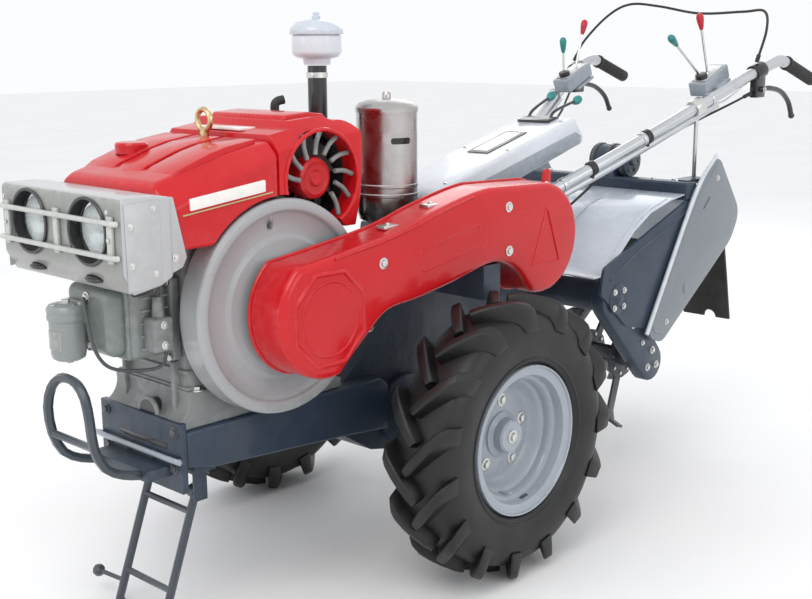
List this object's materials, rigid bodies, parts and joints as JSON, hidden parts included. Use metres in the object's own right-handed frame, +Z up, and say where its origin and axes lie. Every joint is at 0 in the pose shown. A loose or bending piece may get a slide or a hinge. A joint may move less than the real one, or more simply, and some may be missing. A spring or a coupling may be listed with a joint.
{
  "type": "walking tractor with rotary tiller",
  "caption": "Walking tractor with front diesel engine, side belt drive, long handlebars, rear rotary tiller and fold-down front stand.",
  "frame": {"origin": "on the ground, under the middle of the whole machine's box", "axes": "+X forward, towards the lamps; +Y to the left, on the flywheel's side; +Z up"},
  "size_m": [2.4409, 0.983, 1.2967],
  "materials": {
    "red_paint": "glossy",
    "blue_paint": "satin",
    "cast_paint": "satin",
    "pale_paint": "satin",
    "silver_paint": "satin",
    "shield_paint": "satin",
    "rim_paint": "metallic",
    "stainless": "polished",
    "steel_plate": "zinc plated",
    "dark_steel": "painted black",
    "black_plastic": "matt",
    "rubber": "matt",
    "tyre_rubber": "matt",
    "lamp_glass": "clear"
  },
  "bodies": {
    "chassis": {"air_cleaner": "black_plastic", "axle_housing_left": "blue_paint", "axle_housing_right": "blue_paint", "belt_cover": "red_paint", "clutch_cable_left": "black_plastic", "clutch_cable_right": "black_plastic", "clutch_lever_left": "steel_plate", "clutch_lever_right": "steel_plate", "console": "silver_paint", "control_cable": "black_plastic", "controls_left": "cast_paint", "controls_right": "cast_paint", "cylinder_head": "cast_paint", "depth_rod": "steel_plate", "drive_belts": "black_plastic", "engine_block": "cast_paint", "frame_rail_left": "blue_paint", "frame_rail_right": "blue_paint", "front_bumper": "blue_paint", "front_plate": "blue_paint", "fuel_filter": "pale_paint", "fuel_tank": "red_paint", "gear_levers": "steel_plate", "gearbox": "blue_paint", "grip_left": "black_plastic", "grip_right": "black_plastic", "handle_bracket": "blue_paint", "handlebar_left": "silver_paint", "handlebar_right": "silver_paint", "headlamp_left": "lamp_glass", "headlamp_right": "lamp_glass", "lamp_box": "pale_paint", "lamp_guard": "pale_paint", "lifting_eye": "steel_plate", "muffler": "stainless", "pre_cleaner": "pale_paint", "radiator_hood": "red_paint", "side_frame_left": "blue_paint", "side_frame_right": "blue_paint", "side_shield_left": "shield_paint", "side_shield_right": "shield_paint", "tiller_beam": "blue_paint", "tiller_case": "blue_paint", "tiller_hood": "silver_paint", "timing_cover": "cast_paint"},
    "wheel_left": {"tyre_left": "tyre_rubber", "rim_left": "rim_paint"},
    "wheel_right": {"tyre_right": "tyre_rubber", "rim_right": "rim_paint"},
    "crankshaft": {"flywheel": "pale_paint"},
    "clutch": {"clutch_pulley": "cast_paint"},
    "fan": {"radiator_fan": "pale_paint"},
    "rotor": {"tine_rotor": "dark_steel"},
    "stand": {"front_stand": "blue_paint"},
    "tiller_rear": {"rear_cover": "silver_paint", "rear_flap": "rubber"}
  },
  "joints": [
    {"name": "wheel_left_roll", "type": "hinge", "parent": "chassis", "child": "wheel_left", "pos_m": [0.3704, 0.409, 0.32], "axis": [0, 1, 0], "continuous": true},
    {"name": "wheel_right_roll", "type": "hinge", "parent": "chassis", "child": "wheel_right", "pos_m": [0.3704, -0.409, 0.32], "axis": [0, 1, 0], "continuous": true},
    {"name": "crank_spin", "type": "hinge", "parent": "chassis", "child": "crankshaft", "pos_m": [0.8164, 0.2, 0.654], "axis": [0, 1, 0], "continuous": true},
    {"name": "clutch_spin", "type": "hinge", "parent": "chassis", "child": "clutch", "pos_m": [0.1004, 0.215, 0.722], "axis": [0, 1, 0], "continuous": true},
    {"name": "fan_spin", "type": "hinge", "parent": "chassis", "child": "fan", "pos_m": [0.7034, 0.1, 0.905], "axis": [0, 1, 0], "continuous": true},
    {"name": "rotor_spin", "type": "hinge", "parent": "chassis", "child": "rotor", "pos_m": [-0.4196, 0, 0.31], "axis": [0, 1, 0], "continuous": true},
    {"name": "stand_fold", "type": "hinge", "parent": "chassis", "child": "stand", "pos_m": [0.9754, 0, 0.272], "axis": [0, 1, 0], "range_deg": [0, 105]},
    {"name": "rear_cover_lift", "type": "hinge", "parent": "chassis", "child": "tiller_rear", "pos_m": [-0.6236, 0, 0.752], "axis": [0, 1, 0], "range_deg": [0, 35]}
  ],
  "couplings": [
    {"joint": "clutch_spin", "follows": "crank_spin", "ratio": 0.5682},
    {"joint": "fan_spin", "follows": "crank_spin", "ratio": 1.5}
  ]
}
